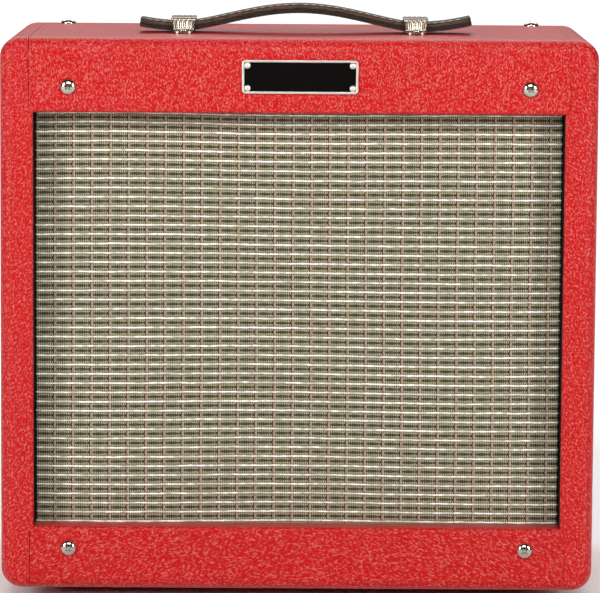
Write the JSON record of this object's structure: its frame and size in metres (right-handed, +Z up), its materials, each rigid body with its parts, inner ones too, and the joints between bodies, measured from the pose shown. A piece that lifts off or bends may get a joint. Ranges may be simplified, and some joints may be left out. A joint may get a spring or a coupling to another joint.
{
  "type": "guitar amplifier",
  "caption": "Small open-backed combo amplifier: covered cabinet, strap handle, cloth-fronted loudspeaker and a rear control panel.",
  "frame": {"origin": "on the floor, under the middle of the overall box", "axes": "+Z up, -Y out of the grille, +X to the right of a person who faces the grille"},
  "size_m": [0.4, 0.2389, 0.4007],
  "materials": {
    "red_vinyl": "board covered in pebbled red vinyl",
    "black_wood": "matt black paint",
    "grille_cloth": "coarse woven cloth, silver and olive with red and black threads",
    "strap_leather": "dark leather with cut edges and pale stitching",
    "nickel": "polished nickel",
    "chrome_panel": "bright plated steel",
    "steel": "zinc plated",
    "black_steel": "satin black",
    "cone_paper": "felted paper",
    "black_plastic": "moulded",
    "rubber": "moulded",
    "cable": "smooth",
    "glass": "clear",
    "red_lens": "faceted lens",
    "circuit_board": "resist over glass fibre"
  },
  "bodies": {
    "cabinet": {"cabinet_left_side": "red_vinyl", "cabinet_right_side": "red_vinyl", "cabinet_top": "red_vinyl", "cabinet_bottom": "red_vinyl", "front_header": "red_vinyl", "front_lower_rail": "red_vinyl", "upper_back_panel": "red_vinyl", "lower_back_panel": "red_vinyl", "baffle_board": "black_wood", "grille_cloth": "grille_cloth", "front_screw_1": "nickel", "front_screw_2": "nickel", "front_screw_3": "nickel", "front_screw_4": "nickel", "chassis_screw_left": "nickel", "chassis_screw_right": "nickel", "back_screw_1": "nickel", "back_screw_2": "nickel", "back_screw_3": "nickel", "back_screw_4": "nickel", "bracket_screw_left_front": "nickel", "bracket_screw_left_rear": "nickel", "bracket_screw_right_front": "nickel", "bracket_screw_right_rear": "nickel", "handle_bracket_left": "nickel", "handle_bracket_right": "nickel", "nameplate": "nickel", "chassis": "chrome_panel", "pilot_lamp_bezel": "chrome_panel", "speaker_magnet": "steel", "volume_pot": "steel", "tone_pot": "steel", "power_switch_body": "steel", "speaker_bolt_1": "steel", "speaker_bolt_2": "steel", "speaker_bolt_3": "steel", "speaker_bolt_4": "steel", "speaker_frame": "black_steel", "power_transformer": "black_steel", "output_transformer": "black_steel", "speaker_surround": "cone_paper", "speaker_spider": "cone_paper", "input_jack": "black_plastic", "mains_inlet": "black_plastic", "foot_1": "rubber", "foot_2": "rubber", "foot_3": "rubber", "foot_4": "rubber", "speaker_lead": "cable", "power_valve": "glass", "preamp_valve": "glass", "pilot_lamp_lens": "red_lens", "circuit_board": "circuit_board"},
    "volume_dial": {"volume_knob": "black_plastic"},
    "tone_dial": {"tone_knob": "black_plastic"},
    "toggle": {"power_switch_lever": "chrome_panel"},
    "cone": {"speaker_cone": "cone_paper"},
    "grip": {"strap_grip": "strap_leather"},
    "tail_left": {"strap_tail_left": "strap_leather"},
    "tail_right": {"strap_tail_right": "strap_leather"}
  },
  "joints": [
    {"name": "volume_turn", "type": "hinge", "parent": "cabinet", "child": "volume_dial", "pos_m": [-0.045, 0.09248, 0.35878], "axis": [0, 0.6662, 0.7458], "range_deg": [-300, 0]},
    {"name": "tone_turn", "type": "hinge", "parent": "cabinet", "child": "tone_dial", "pos_m": [0.02, 0.09248, 0.35878], "axis": [0, 0.6662, 0.7458], "range_deg": [-300, 0]},
    {"name": "power_flip", "type": "hinge", "parent": "cabinet", "child": "toggle", "pos_m": [0.122, 0.09102, 0.35713], "axis": [-1, 0, 0], "range_deg": [0, 24]},
    {"name": "cone_travel", "type": "slide", "parent": "cabinet", "child": "cone", "axis": [0, -1, 0], "range_m": [-0.002, 0.002], "stiffness_N_per_m": 3000, "deforming": ["speaker_surround", "speaker_spider"]},
    {"name": "handle_lift", "type": "slide", "parent": "cabinet", "child": "grip", "axis": [0, 0, 1], "range_m": [0, 0.02]},
    {"name": "tail_slide_left", "type": "slide", "parent": "grip", "child": "tail_left", "axis": [0.3714, 0, -0.9285], "range_m": [0, 0.02164], "deforming": ["strap_tail_left"]},
    {"name": "tail_slide_right", "type": "slide", "parent": "grip", "child": "tail_right", "axis": [-0.3714, 0, -0.9285], "range_m": [0, 0.02164], "deforming": ["strap_tail_right"]}
  ],
  "couplings": [
    {"joint": "tail_slide_left", "follows": "handle_lift", "ratio": 1.077},
    {"joint": "tail_slide_right", "follows": "handle_lift", "ratio": 1.077}
  ]
}
